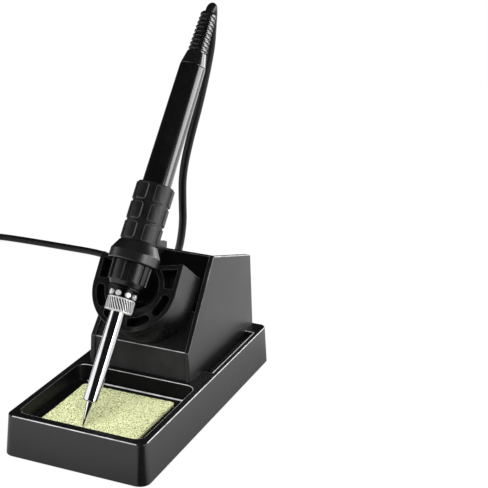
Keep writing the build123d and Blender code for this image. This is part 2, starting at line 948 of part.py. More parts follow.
def make_plug_pins():
    face = plug_frame.offset(plug_relief_length + plug_length)
    blade = Rectangle(blade_thickness, blade_width)
    up = 1 if plug_frame.y_dir.Z > 0 else -1
    pins = [
        extrude(face * Pos(side * blade_spacing / 2, up * blade_rise) * blade, amount=blade_length)
        for side in (-1, 1)
    ]
    earth = Circle(earth_pin_diameter / 2)
    pins.append(extrude(face * Pos(0, up * (blade_rise - earth_pin_drop)) * earth, amount=earth_pin_length))
    return Compound(children=pins)


stand_nodes = {
    "base_tray": make_base_tray(),
    "rubber_feet": make_rubber_feet(),
    "housing": make_housing(),
    "housing_screws": make_housing_screws(),
    "iron_holder": make_iron_holder(),
    "sponge": make_sponge(),
    "cord_hanging": make_cord("cord_hanging", hanging_route),
    "cord_floor": make_cord("cord_floor", floor_route),
    "cord_coil": make_cord_coil(),
    "coil_tie": make_coil_tie(),
    "plug_body": make_plug_body(),
    "plug_pins": make_plug_pins(),
}
iron_nodes = {
    "soldering_tip": make_soldering_tip(),
    "tip_sleeve": make_tip_sleeve(),
    "knurled_nut": make_knurled_nut(),
    "heater_core": make_heater_core(),
    "heater_ferrule": make_heater_ferrule(),
    "fluted_collar": make_fluted_collar(),
    "guard_flange": make_guard_flange(),
    "grip_sleeve": make_grip_sleeve(),
    "handle_tube": make_handle_tube(),
    "terminal_board": make_terminal_board(),
    "heater_leads": make_heater_leads(),
    "cord_clamp": make_cord_clamp(),
    "cord_boot": make_cord_boot(),
    "cord_entry": make_cord_entry(),
}

print("iron axis", [round(value, 5) for value in iron_axis])
print("tip", [round(value, 3) for value in tip_point])
for name, solid in stand_nodes.items():
    export_step(solid, f"parts/{name}.step")
for name, solid in iron_nodes.items():
    export_step(iron_frame * solid, f"parts/{name}.step")
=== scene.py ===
import json
import math
import bmesh
import bpy
import numpy as np
from mathutils import Matrix, Vector


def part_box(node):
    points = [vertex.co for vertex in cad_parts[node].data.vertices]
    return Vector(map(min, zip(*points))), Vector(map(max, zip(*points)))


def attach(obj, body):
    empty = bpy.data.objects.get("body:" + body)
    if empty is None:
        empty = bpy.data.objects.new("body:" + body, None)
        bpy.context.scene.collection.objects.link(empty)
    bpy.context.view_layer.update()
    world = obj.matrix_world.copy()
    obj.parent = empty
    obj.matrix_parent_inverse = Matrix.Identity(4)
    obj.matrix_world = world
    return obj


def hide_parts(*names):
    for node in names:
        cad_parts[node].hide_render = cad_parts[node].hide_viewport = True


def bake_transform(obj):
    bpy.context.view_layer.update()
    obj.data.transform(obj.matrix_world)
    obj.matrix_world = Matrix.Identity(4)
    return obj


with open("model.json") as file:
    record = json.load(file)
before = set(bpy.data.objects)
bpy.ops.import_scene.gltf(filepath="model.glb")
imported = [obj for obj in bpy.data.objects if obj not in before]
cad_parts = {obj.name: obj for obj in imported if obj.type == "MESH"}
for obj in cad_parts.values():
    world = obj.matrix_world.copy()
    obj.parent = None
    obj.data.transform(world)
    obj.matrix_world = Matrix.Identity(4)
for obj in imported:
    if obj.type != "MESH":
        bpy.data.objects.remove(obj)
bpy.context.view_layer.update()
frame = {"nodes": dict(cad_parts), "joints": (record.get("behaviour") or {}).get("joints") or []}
nodes = frame["nodes"]
joints = {joint["name"]: joint for joint in frame["joints"]}
mm = 0.001
nearZero = 1e-9


def unit(vector):
    return np.asarray(vector, float) / np.linalg.norm(vector)


# Camera, matched to the photo's left view
cameraSettings = {
    "place": (300.3, -597.9, 341.8),
    "azimuth": 21.835,
    "elevation": 19.567,
    "roll": 1.569,
    "lens": 89.68,
    "sensor": 36.0,
    "clip": (0.02, 50.0),
}


def makeCamera(settings):
    azimuth, elevation, roll = np.radians([settings["azimuth"], settings["elevation"], settings["roll"]])
    flat = np.cos(elevation)
    back = np.array([np.sin(azimuth) * flat, -np.cos(azimuth) * flat, np.sin(elevation)])
    right = unit(np.cross(-back, [0, 0, 1]))
    up = np.cross(right, -back)
    turn = np.eye(4)
    turn[:3, 0] = right * np.cos(roll) + up * np.sin(roll)
    turn[:3, 1] = up * np.cos(roll) - right * np.sin(roll)
    turn[:3, 2] = back
    turn[:3, 3] = np.array(settings["place"]) * mm
    data = bpy.data.cameras.new("camera")
    data.lens = settings["lens"]
    data.sensor_width = settings["sensor"]
    data.clip_start, data.clip_end = settings["clip"]
    camera = bpy.data.objects.new("camera", data)
    camera.matrix_world = Matrix(turn.tolist())
    bpy.context.scene.collection.objects.link(camera)
    bpy.context.scene.camera = camera


makeCamera(cameraSettings)


# Materials: every finish varies a little in colour and roughness, both by one cloud of noise, and has a
# grain; "shaded" is the colour of faces that don't look up, so faces that look up are painted lighter, a
# painted highlight; the last colour goes on points with the painted-light attribute, painted shade or
# highlight
def linked(tree, kind, values=None, options=None):
    made = tree.nodes.new("ShaderNode" + kind)
    for name, value in (options or {}).items():
        setattr(made, name, value)
    for name, value in (values or {}).items():
        if hasattr(value, "is_output"):
            tree.links.new(value, made.inputs[name])
        else:
            made.inputs[name].default_value = value
    return made


def calculated(tree, operation, *values):
    return linked(tree, "Math", dict(enumerate(values)), {"operation": operation}).outputs["Value"]


def ranged(tree, value, low, high, start=0.0, end=1.0):
    # Carries low to start and high to end, and holds them beyond
    span = {"Value": value, "From Min": low, "From Max": high, "To Min": start, "To Max": end}
    return linked(tree, "MapRange", span).outputs["Result"]


def mixed(tree, share, first, second):
    # Each of the two colours is a socket or a triple
    mix = linked(tree, "Mix", {"Factor": share}, {"data_type": "RGBA"})
    sockets = [socket for socket in mix.inputs if socket.type == "RGBA"]
    for socket, colour in zip(sockets, (first, second)):
        if hasattr(colour, "is_output"):
            tree.links.new(colour, socket)
        else:
            socket.default_value = (*colour, 1.0)
    return [socket for socket in mix.outputs if socket.type == "RGBA"][0]


noiseSettings = {
    "cloudDetail": 3.0, "grainDetail": 2.0, "grainRoughness": 0.55, "colourSpread": (0.35, 0.65),
    "roughSpread": (0.3, 0.7), "upward": (0.1, 0.4),
}


def finish(name, settings):
    material = bpy.data.materials.new(name)
    material.use_nodes = True
    tree = material.node_tree
    shader = tree.nodes["Principled BSDF"]
    place = linked(tree, "TexCoord").outputs["Object"]
    cloud = linked(tree, "TexNoise", {
        "Vector": place, "Scale": settings["cloud"], "Detail": noiseSettings["cloudDetail"],
    }).outputs["Fac"]
    grain = linked(tree, "TexNoise", {
        "Vector": place, "Scale": settings["grain"], "Detail": noiseSettings["grainDetail"],
        "Roughness": noiseSettings["grainRoughness"],
    }).outputs["Fac"]
    share = ranged(tree, cloud, *settings.get("spread", noiseSettings["colourSpread"]))
    colour = mixed(tree, share, settings["dark"], settings["light"])
    # painted highlight: faces that look up take the lighter colours, the others the shaded one
    if "shaded" in settings:
        normal = linked(tree, "NewGeometry").outputs["Normal"]
        upward = linked(tree, "SeparateXYZ", {"Vector": normal}).outputs["Z"]
        colour = mixed(tree, ranged(tree, upward, *noiseSettings["upward"]), settings["shaded"], colour)
    # painted light: points with the attribute take this colour, as painted shade or painted highlight
    if "paintedLightColour" in settings:
        mark = linked(tree, "Attribute", None, {"attribute_name": "mark"}).outputs["Fac"]
        colour = mixed(tree, mark, colour, settings["paintedLightColour"])
    tree.links.new(colour, shader.inputs["Base Color"])
    rough = ranged(tree, cloud, *noiseSettings["roughSpread"], *settings["rough"])
    tree.links.new(rough, shader.inputs["Roughness"])
    bump = linked(tree, "Bump", {
        "Height": grain, "Strength": settings["bump"], "Distance": settings["depth"],
    })
    tree.links.new(bump.outputs["Normal"], shader.inputs["Normal"])
    for socket, value in settings.get("sockets", {}).items():
        shader.inputs[socket].default_value = value
    return material


finishes = {
    "standPlastic": {
        "dark": (0.0042, 0.0042, 0.0047), "light": (0.0062, 0.0062, 0.0068), "cloud": 40.0,
        "grain": 3600.0, "rough": (0.24, 0.32), "bump": 0.2, "depth": 0.0002, "sockets": {"IOR": 1.62},
    },
    "housingPlastic": {
        "dark": (0.0042, 0.0042, 0.0047), "light": (0.0062, 0.0062, 0.0068), "cloud": 40.0,
        "grain": 3600.0, "rough": (0.3, 0.37), "bump": 0.2, "depth": 0.0002, "sockets": {"IOR": 1.62},
    },
    # a lighter grey than the housing's own black, painted light for the light falling on the front wall
    "frontLitPlastic": {
        "dark": (0.022, 0.022, 0.0235), "light": (0.032, 0.032, 0.034), "cloud": 60.0, "grain": 2800.0,
        "rough": (0.42, 0.5), "bump": 0.3, "depth": 0.0002, "sockets": {"Specular IOR Level": 0.1},
    },
    # The three edge finishes below are painted highlights: lighter where an edge faces up, as if it caught
    # the light, near black where it doesn't
    "edgeHighlightPaint": {
        "dark": (0.34, 0.34, 0.35), "light": (0.62, 0.62, 0.63), "cloud": 120.0, "grain": 2400.0,
        "rough": (0.2, 0.3), "bump": 0.03, "depth": 0.0001, "shaded": (0.006, 0.006, 0.0065),
        "paintedLightColour": (0.02, 0.02, 0.021),
    },
    "softEdgeHighlightPaint": {
        "dark": (0.06, 0.06, 0.063), "light": (0.13, 0.13, 0.135), "cloud": 120.0, "grain": 2400.0,
        "rough": (0.2, 0.3), "bump": 0.03, "depth": 0.0001, "shaded": (0.006, 0.006, 0.0065),
    },
    "holderEdge": {
        "dark": (0.012, 0.012, 0.013), "light": (0.028, 0.028, 0.03), "cloud": 120.0, "grain": 2400.0,
        "rough": (0.2, 0.3), "bump": 0.03, "depth": 0.0001, "shaded": (0.006, 0.006, 0.0065),
    },
    "panelPlastic": {
        "dark": (0.0028, 0.0028, 0.003), "light": (0.0048, 0.0048, 0.005), "cloud": 300.0,
        "grain": 1500.0, "rough": (0.36, 0.48), "bump": 0.7, "depth": 0.0004,
    },
    # a darker, less glossy copy of the stand plastic for the well: painted shade in the recess
    "wellShadedPlastic": {
        "dark": (0.0025, 0.0025, 0.0028), "light": (0.004, 0.004, 0.0043), "cloud": 60.0, "grain": 900.0,
        "rough": (0.26, 0.34), "bump": 0.05, "depth": 0.0002, "sockets": {"Specular IOR Level": 0.12},
    },
    "holderPlastic": {
        "dark": (0.003, 0.003, 0.0033), "light": (0.005, 0.005, 0.0054), "cloud": 70.0, "grain": 3200.0,
        "rough": (0.24, 0.32), "bump": 0.12, "depth": 0.0002,
    },
    "handlePlastic": {
        "dark": (0.0022, 0.0022, 0.0025), "light": (0.0036, 0.0036, 0.004), "cloud": 50.0,
        "grain": 700.0, "rough": (0.12, 0.17), "bump": 0.015, "depth": 0.0002,
        "sockets": {"IOR": 1.6, "Coat Weight": 1.0, "Coat Roughness": 0.15, "Coat IOR": 1.55},
    },
    "collarPlastic": {
        "dark": (0.0035, 0.0035, 0.0038), "light": (0.0055, 0.0055, 0.006), "cloud": 90.0,
        "grain": 3200.0, "rough": (0.24, 0.32), "bump": 0.08, "depth": 0.0002,
    },
    "guardPlastic": {
        "dark": (0.004, 0.004, 0.0043), "light": (0.0065, 0.0065, 0.007), "cloud": 90.0, "grain": 3200.0,
        "rough": (0.3, 0.38), "bump": 0.08, "depth": 0.0002, "sockets": {"IOR": 1.75},
    },
    # its last colour is a painted highlight on the pads' outlines
    "gripRubber": {
        "dark": (0.0035, 0.0035, 0.004), "light": (0.0065, 0.0065, 0.007), "cloud": 120.0,
        "grain": 2200.0, "rough": (0.33, 0.42), "bump": 0.35, "depth": 0.0003,
        "paintedLightColour": (0.045, 0.045, 0.047), "sockets": {"Specular IOR Level": 0.55},
    },
    "cordJacket": {
        "dark": (0.0035, 0.0035, 0.0038), "light": (0.0055, 0.0055, 0.006), "cloud": 70.0,
        "grain": 2400.0, "rough": (0.32, 0.42), "bump": 0.06, "depth": 0.0002,
        "sockets": {"Specular IOR Level": 0.3},
    },
    "bootRubber": {
        "dark": (0.003, 0.003, 0.0034), "light": (0.005, 0.005, 0.0055), "cloud": 90.0, "grain": 2600.0,
        "rough": (0.13, 0.19), "bump": 0.06, "depth": 0.0002, "sockets": {"IOR": 2.3},
    },
    "footRubber": {
        "dark": (0.014, 0.014, 0.014), "light": (0.026, 0.026, 0.026), "cloud": 200.0, "grain": 2500.0,
        "rough": (0.7, 0.85), "bump": 0.3, "depth": 0.0002,
    },
    "sleeveSteel": {
        "dark": (0.66, 0.67, 0.69), "light": (0.8, 0.8, 0.81), "cloud": 90.0, "grain": 1200.0,
        "rough": (0.07, 0.12), "bump": 0.02, "depth": 0.0001, "sockets": {"Metallic": 1.0},
    },
    # its last colour is painted shade in the knurl's grooves
    "nutNickel": {
        "dark": (0.6, 0.6, 0.6), "light": (0.78, 0.78, 0.78), "cloud": 160.0, "grain": 2400.0,
        "rough": (0.24, 0.32), "bump": 0.04, "depth": 0.0001, "paintedLightColour": (0.012, 0.012, 0.012),
        "sockets": {"Metallic": 0.5},
    },
    "lugTin": {
        "dark": (0.62, 0.62, 0.62), "light": (0.8, 0.8, 0.8), "cloud": 260.0, "grain": 2400.0,
        "rough": (0.26, 0.34), "bump": 0.04, "depth": 0.0001, "sockets": {"Metallic": 0.55},
    },
    "darkSteel": {
        "dark": (0.02, 0.02, 0.021), "light": (0.045, 0.044, 0.043), "cloud": 300.0, "grain": 2400.0,
        "rough": (0.3, 0.42), "bump": 0.05, "depth": 0.0001, "sockets": {"Metallic": 1.0},
    },
    "bitMetal": {
        "dark": (0.74, 0.74, 0.75), "light": (0.9, 0.9, 0.89), "cloud": 220.0, "grain": 2600.0,
        "rough": (0.1, 0.16), "bump": 0.03, "depth": 0.0001, "sockets": {"Metallic": 1.0},
    },
    "screwSteel": {
        "dark": (0.38, 0.38, 0.39), "light": (0.55, 0.55, 0.56), "cloud": 250.0, "grain": 2400.0,
        "rough": (0.28, 0.4), "bump": 0.05, "depth": 0.0001, "sockets": {"Metallic": 1.0},
    },
    "pinBrass": {
        "dark": (0.55, 0.42, 0.2), "light": (0.72, 0.56, 0.28), "cloud": 150.0, "grain": 2400.0,
        "rough": (0.22, 0.32), "bump": 0.04, "depth": 0.0001, "sockets": {"Metallic": 1.0},
    },
    "leadCopper": {
        "dark": (0.55, 0.28, 0.16), "light": (0.75, 0.42, 0.26), "cloud": 200.0, "grain": 2400.0,
        "rough": (0.25, 0.35), "bump": 0.04, "depth": 0.0001, "sockets": {"Metallic": 1.0},
    },
    "heaterCeramic": {
        "dark": (0.66, 0.6, 0.5), "light": (0.78, 0.74, 0.66), "cloud": 250.0, "grain": 1800.0,
        "rough": (0.45, 0.6), "bump": 0.05, "depth": 0.0001,
    },
    "boardLaminate": {
        "dark": (0.03, 0.11, 0.045), "light": (0.05, 0.16, 0.07), "cloud": 250.0, "grain": 2000.0,
        "rough": (0.3, 0.45), "bump": 0.05, "depth": 0.0001,
    },
    "tieFabric": {
        "dark": (0.012, 0.012, 0.013), "light": (0.03, 0.03, 0.032), "cloud": 400.0, "grain": 2200.0,
        "rough": (0.75, 0.9), "bump": 0.6, "depth": 0.0004,
    },
    "spongeFoam": {
        "dark": (0.05, 0.062, 0.018), "light": (0.75, 0.78, 0.44), "cloud": 2100.0, "grain": 1300.0,
        "spread": (0.42, 0.46), "rough": (0.85, 0.97), "bump": 0.9, "depth": 0.0006,
        "sockets": {"Specular IOR Level": 0.2},
    },
}
materials = {name: finish(name, settings) for name, settings in finishes.items()}
print("materials:", len(materials))


# Meshes
weldDistance = 1e-7


def gridFaces(rows, columns, aroundRows, aroundColumns):
    index = np.arange(rows * columns).reshape(rows, columns)
    if aroundRows:
        index = np.vstack([index, index[:1]])
    if aroundColumns:
        index = np.hstack([index, index[:, :1]])
    quads = np.stack([index[:-1, :-1], index[1:, :-1], index[1:, 1:], index[:-1, 1:]], axis=-1)
    return quads.reshape(-1, 4)


def makePiece(name, grids, material, body=None, replaced=(), paintedLightShares=None):
    # Each grid is (points, aroundRows, aroundColumns); points that meet, such as a pole's, become one
    points = []
    faces = []
    count = 0
    for grid, aroundRows, aroundColumns in grids:
        rows, columns = grid.shape[:2]
        points.append(grid.reshape(-1, 3))
        faces.append(gridFaces(rows, columns, aroundRows, aroundColumns) + count)
        count += rows * columns
    mesh = bpy.data.meshes.new(name)
    mesh.from_pydata(np.concatenate(points).tolist(), [], np.concatenate(faces).tolist())
    # each point's share of painted light, painted shade or painted highlight, that the finish reads
    if paintedLightShares is not None:
        mesh.attributes.new("mark", "FLOAT", "POINT").data.foreach_set("value", paintedLightShares.reshape(-1))
    return addPiece(name, mesh, material, body, replaced)


def addPiece(name, mesh, material, body, replaced):
    shape = bmesh.new()
    shape.from_mesh(mesh)
    bmesh.ops.remove_doubles(shape, verts=shape.verts, dist=weldDistance)
    bmesh.ops.recalc_face_normals(shape, faces=shape.faces)
    shape.to_mesh(mesh)
    shape.free()
    mesh.polygons.foreach_set("use_smooth", np.ones(len(mesh.polygons), bool))
    mesh.materials.clear()
    mesh.materials.append(materials[material])
    piece = bpy.data.objects.new(name, mesh)
    bpy.context.scene.collection.objects.link(piece)
    if replaced:
        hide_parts(*replaced)
    if body:
        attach(piece, body)
    return piece


def smoothStep(low, high, value):
    share = np.clip((value - low) / (high - low), 0, 1)
    return share * share * (3 - 2 * share)


holdSettings = {"sharp": 0.08, "longest": 1.0, "arc": 0.3}


def roundedLine(corners, closed, steps=5):
    # Corners are (station, radius, rounding); each corner becomes an arc between its two tangent points,
    # with one more point a little before and after it, so that the flat parts shade flat
    spots = np.array([corner[:2] for corner in corners], float)
    line = []
    count = len(corners)
    for number, corner in enumerate(corners):
        rounding = corner[2] if len(corner) > 2 else 0
        if not closed and number in (0, count - 1):
            line.append(spots[number])
            continue
        before = spots[number] - spots[number - 1]
        after = spots[(number + 1) % count] - spots[number]
        inward, outward = unit(before), unit(after)
        if rounding == 0:
            shortest = min(np.linalg.norm(before), np.linalg.norm(after), holdSettings["longest"])
            hold = holdSettings["sharp"] * shortest
            line.extend([spots[number] - inward * hold, spots[number], spots[number] + outward * hold])
            continue
        turn = math.acos(float(np.clip(inward @ outward, -1, 1)))
        reach = rounding * math.tan(turn / 2)
        bend = outward - inward * (inward @ outward)
        bend = bend / np.linalg.norm(bend)
        start = spots[number] - inward * reach
        angles = np.linspace(0, turn, steps)[:, None]
        arc = start + rounding * (inward * np.sin(angles) + bend * (1 - np.cos(angles)))
        hold = holdSettings["arc"] * reach
        line.append(start - inward * hold)
        line.extend(arc)
        line.append(arc[-1] + outward * hold)
    return np.array(line)


# The iron's own frame, from the joints: its tip, its axis and two directions across it
ironSettings = {"nutStation": 70.55}
ironAxis = unit(joints["iron_lift"]["axis"])
ironTip = np.array(joints["knurled_nut_turn"]["pos_m"]) - ironAxis * ironSettings["nutStation"] * mm
ironSide = unit([ironAxis[1], -ironAxis[0], 0])
ironUp = np.cross(ironAxis, ironSide)


def onIron(stations, radii, angles):
    # A point at a station along the axis, a radius from it and an angle round it, sizes in mm
    across = np.cos(angles)[..., None] * ironSide + np.sin(angles)[..., None] * ironUp
    along = np.asarray(stations)[..., None] * ironAxis
    return ironTip + mm * (along + np.asarray(radii)[..., None] * across)


def turnedGrid(line, segments):
    # A profile carried round the iron's axis: rows follow the profile, columns go round
    angles = np.linspace(0, 2 * np.pi, segments, endpoint=False)
    stations, radii, turns = np.broadcast_arrays(line[:, :1], line[:, 1:2], angles[None, :])
    return onIron(stations, radii, turns)


def turnedPiece(name, corners, material, replaced, closed=True, segments=96, steps=5):
    line = roundedLine(corners, closed, steps)
    makePiece(name, [(turnedGrid(line, segments), closed, True)], material, "iron", [replaced])


# Cord: one NURBS line from the boot, over a tight fold, down behind the stand, along the table and into
# a flat coil of two layers that ends at the plug
cordSettings = {
    "diameter": 5.3,
    "ironEnd": 248.4,
    "straight": 2.3,
    "hanging": [
        (12.5, 61.0, 234.0), (11.2, 64.5, 230.4), (10.1, 66.0, 221.0), (8.2, 68.8, 206.5),
        (-2.2, 77.3, 172.2), (-12.3, 84.4, 144.5), (-20.0, 90.6, 119.5), (-22.5, 96.6, 98.0),
        (-24.2, 101.6, 82.5), (-29.5, 108.6, 63.5), (-36.5, 116.0, 49.0),
    ],
    "floor": [
        (-43.5, 123.4, 34.5), (-62.0, 142.0, 12.5), (-88.0, 170.0, 2.65), (-116.0, 200.0, 2.65),
        (-146.0, 215.8, 2.65), (-186.0, 215.6, 2.65), (-222.0, 215.2, 2.65), (-250.0, 210.6, 3.75),
        (-280.0, 194.6, 3.75),
    ],
    "coilRadius": 34.0,
    "coilPitch": 5.9,
    "coilLow": 3.75,
    "coilTail": 15.0,
    "turnsIn": 2.25,
    "turnsClimb": 0.5,
    "turnsOut": 2.5,
    "pointsPerTurn": 16,
    "order": 3,
    "resolution": 6,
    "sides": 20,
    "length": 1.43,
}


def coilLine(settings, start, heading):
    # A flat spiral that winds in, climbs one cord width in half a turn and winds out again
    drift = settings["coilPitch"] / (2 * np.pi)
    lead = start + heading * settings["diameter"]
    outer = settings["coilRadius"]
    startTurn = math.atan2(heading[1], heading[0]) - np.pi / 2 - math.atan(drift / outer)
    middle = lead - outer * np.array([math.cos(startTurn), math.sin(startTurn), 0])
    turns = np.array([settings[key] for key in ("turnsIn", "turnsClimb", "turnsOut")])
    turnIn, turnClimb, turnOut = 2 * np.pi * turns
    count = round(float(turns.sum()) * settings["pointsPerTurn"])
    turn = np.linspace(0, turnIn + turnClimb + turnOut, count + 1)
    share = np.clip((turn - turnIn) / turnClimb, 0, 1)
    outTurn = np.clip(turn - turnIn - turnClimb, 0, None)
    radius = outer - drift * np.minimum(turn, turnIn)
    radius = radius - drift * turnClimb * (share - share ** 2) + drift * outTurn
    rise = settings["coilLow"] + settings["coilPitch"] * share ** 2 * (3 - 2 * share)
    angle = startTurn + turn
    line = middle + np.stack([radius * np.cos(angle), radius * np.sin(angle), rise - middle[2]], axis=1)
    endAngle = angle[-1]
    along = unit([
        -math.sin(endAngle) * radius[-1] + math.cos(endAngle) * drift,
        math.cos(endAngle) * radius[-1] + math.sin(endAngle) * drift,
        0,
    ])
    return line, along


def routeLine(name, points, settings):
    data = bpy.data.curves.new(name, "CURVE")
    data.dimensions = "3D"
    spline = data.splines.new("NURBS")
    spline.points.add(len(points) - 1)
    spline.points.foreach_set("co", np.hstack([points, np.ones((len(points), 1))]).reshape(-1))
    spline.order_u = settings["order"]
    spline.use_endpoint_u = True
    spline.resolution_u = settings["resolution"]
    route = bpy.data.objects.new(name, data)
    bpy.context.scene.collection.objects.link(route)
    bpy.context.view_layer.update()
    mesh = bpy.data.meshes.new_from_object(route)
    line = np.empty(len(mesh.vertices) * 3)
    mesh.vertices.foreach_get("co", line)
    bpy.data.objects.remove(route)
    bpy.data.curves.remove(data)
    bpy.data.meshes.remove(mesh)
    return line.reshape(-1, 3)


def tubeGrid(line, radius, sides):
    # A circle carried along a line, without twist; both ends close in a point
    along = np.gradient(line, axis=0)
    along = along / np.linalg.norm(along, axis=1, keepdims=True)
    across = np.empty_like(line)
    guide = np.cross(along[0], [1.0, 0.0, 0.0])
    for number, direction in enumerate(along):
        guide = unit(guide - direction * (guide @ direction))
        across[number] = guide
    third = np.cross(along, across)
    angles = np.linspace(0, 2 * np.pi, sides, endpoint=False)[None, :, None]
    ring = line[:, None] + radius * (np.cos(angles) * across[:, None] + np.sin(angles) * third[:, None])
    startCap = np.repeat(line[:1, None], sides, axis=1)
    endCap = np.repeat(line[-1:, None], sides, axis=1)
    return np.concatenate([startCap, ring, endCap])


def makeCord(settings):
    cordExit = ironTip / mm + ironAxis * settings["ironEnd"]
    lead = cordExit + ironAxis * settings["straight"]
    run = np.array([cordExit, lead, *settings["hanging"], *settings["floor"]])
    coil, along = coilLine(settings, run[-1], unit(run[-1] - run[-2]))
    coilEnd = coil[-1] + along * settings["coilTail"]
    line = routeLine("cordRoute", np.vstack([run, coil, coilEnd]) * mm, settings)
    grid = tubeGrid(line, settings["diameter"] / 2 * mm, settings["sides"])
    cord = makePiece("cord", [(grid, False, True)], "cordJacket", None)
    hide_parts("cord_hanging", "cord_floor", "cord_coil")
    length = np.linalg.norm(np.diff(line, axis=0), axis=1).sum()
    print("cord:", len(line), "points,", round(float(length), 3), "m")
    return cord, line, cordExit, coilEnd, along


cord, cordLine, cordExit, coilEnd, plugAlong = makeCord(cordSettings)


# Plug: sections of two half widths and a corner radius, carried along its axis; a ribbed relief that is
# round, then a body that is a rounded rectangle with a waist for the fingers
plugSettings = {
    "relief": 13.0, "reliefRadius": 4.2, "reliefEnd": 6.3, "reliefSteps": 60, "shoulder": 0.2,
    "ribs": 4, "ribDepth": 0.7, "ribSoft": (0.35, 0.65), "body": 27.0, "bodySteps": 24,
    "halfWidth": 12.5, "halfHeight": 9.65, "corner": 5.0, "waist": 1.1, "edge": 1.0, "edgeSteps": 8,
    "segments": 96,
}


def makePlug(settings):
    relief, narrow, wide = (settings[key] for key in ("relief", "reliefRadius", "reliefEnd"))
    edge, corner, bodyEnd = settings["edge"], settings["corner"], relief + settings["body"]
    reliefPlaces = np.linspace(0.0, relief, settings["reliefSteps"])
    ribTurns = reliefPlaces / relief * 2 * np.pi * settings["ribs"]
    ribs = smoothStep(*settings["ribSoft"], 0.5 + 0.5 * np.cos(ribTurns))
    reliefRadius = narrow + (wide - narrow) * reliefPlaces / relief - settings["ribDepth"] * (1 - ribs)
    quarter = np.linspace(0, np.pi / 2, settings["edgeSteps"])
    rising, falling = edge * (1 - np.cos(quarter)), edge * (1 - np.sin(quarter))
    straight = np.linspace(relief + edge, bodyEnd - edge, settings["bodySteps"])[1:-1]
    bodyPlaces = np.concatenate([relief + rising, straight, bodyEnd - falling])
    inset = np.concatenate([falling, np.zeros(len(straight)), rising])
    share = (bodyPlaces - relief) / settings["body"]
    waist = settings["waist"] * np.sin(np.pi * np.clip(share, 0, 1)) ** 2
    places = np.concatenate([[0.0], reliefPlaces, bodyPlaces[:1], bodyPlaces, bodyPlaces[-1:]])
    noWidth = np.zeros(len(reliefPlaces) + 2)
    heights = np.full(len(bodyPlaces), settings["halfHeight"] - corner)
    heights = np.concatenate([noWidth, heights, [0.0]])
    widths = np.concatenate([noWidth, settings["halfWidth"] - corner - waist, [0.0]])
    shoulder = wide - settings["shoulder"]
    corners = np.concatenate([[0.0], reliefRadius, [shoulder], corner - inset, [0.0]])
    angles = (np.arange(settings["segments"]) + 0.5) * 2 * np.pi / settings["segments"]
    acrossAxis = unit(np.cross([0, 0, 1], plugAlong))
    cosines, sines = np.cos(angles)[None, :], np.sin(angles)[None, :]
    sideways = widths[:, None] * np.sign(cosines) + corners[:, None] * cosines
    upward = heights[:, None] * np.sign(sines) + corners[:, None] * sines
    grid = coilEnd + places[:, None, None] * plugAlong + sideways[..., None] * acrossAxis
    grid = (grid + upward[..., None] * np.array([0, 0, 1.0])) * mm
    grids = [(grid, False, True)]
    return makePiece("plugBody", grids, "cordJacket", "stand", ["plug_body"])


plug = makePlug(plugSettings)
print("plug: made")


